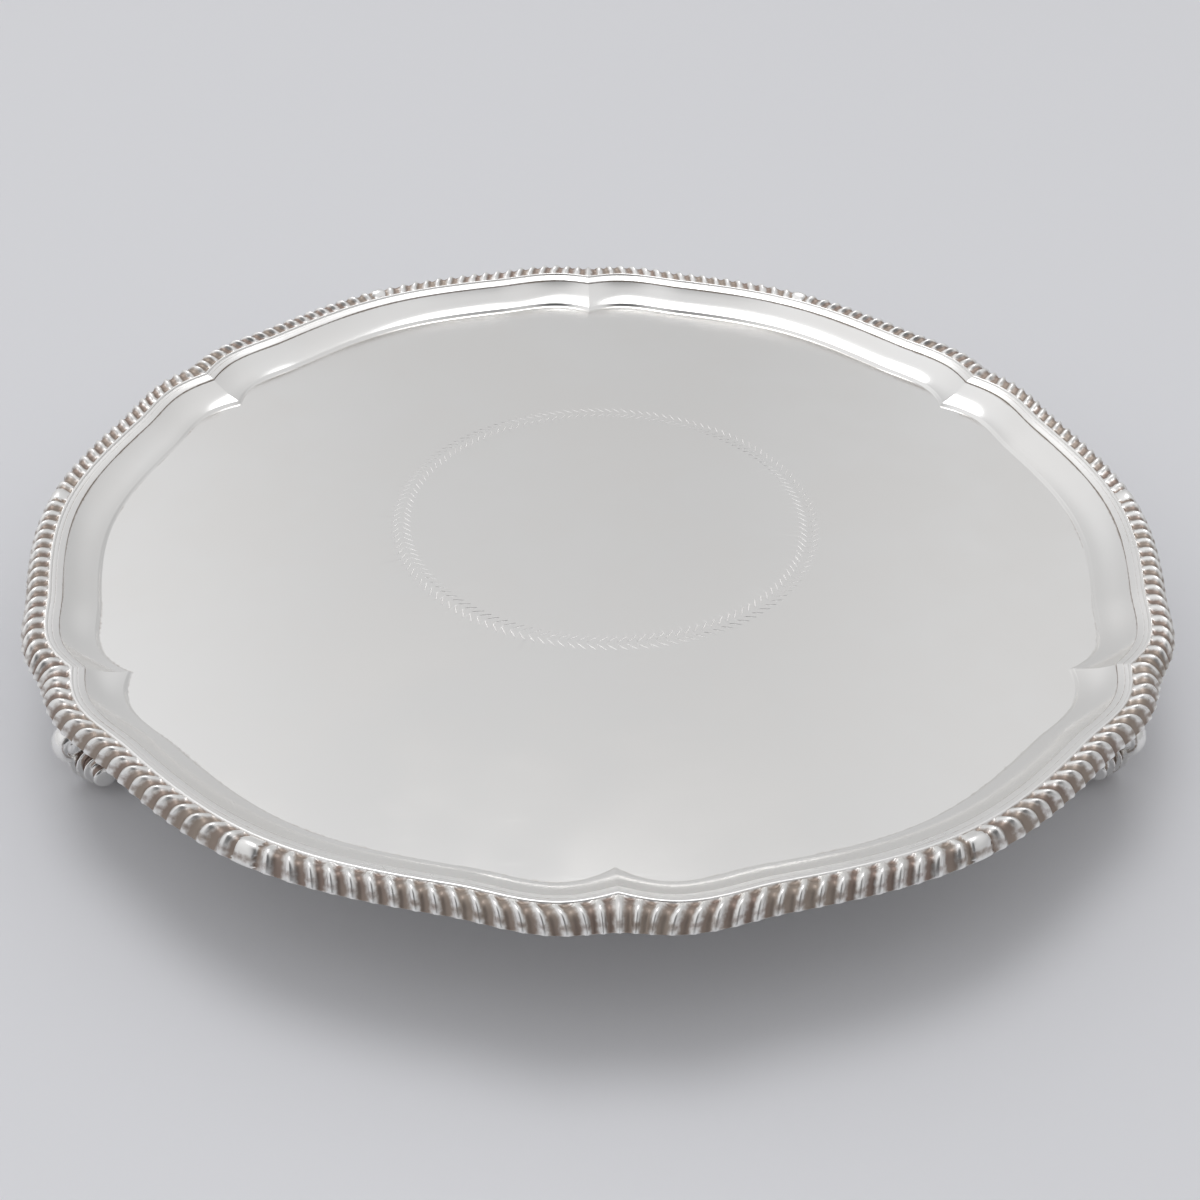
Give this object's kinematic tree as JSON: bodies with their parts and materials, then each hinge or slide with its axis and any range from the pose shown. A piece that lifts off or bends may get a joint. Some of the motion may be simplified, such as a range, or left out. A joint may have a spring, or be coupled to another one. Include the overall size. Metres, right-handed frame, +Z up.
{
  "type": "salver",
  "caption": "Round footed serving tray with a lobed, gadrooned rim, a sunk flat floor with an engraved wreath, and small scroll feet.",
  "frame": {"origin": "on the table under the middle of the tray", "axes": "+Z up, +Y towards the back foot, +X to the right of someone who faces the back foot"},
  "size_m": [0.3064, 0.307, 0.0353],
  "materials": {
    "sheet_silver": "polished sterling silver sheet",
    "border_silver": "polished cast sterling silver with darker tarnish in the grooves",
    "foot_silver": "polished cast sterling silver with darker tarnish in the hollows"
  },
  "bodies": {
    "root": {"tray": "sheet_silver", "border_front_left": "border_silver", "border_front_right": "border_silver", "border_left": "border_silver", "border_right": "border_silver", "border_back_left": "border_silver", "border_back_right": "border_silver", "foot_back": "foot_silver", "foot_left": "foot_silver", "foot_right": "foot_silver"}
  },
  "joints": []
}
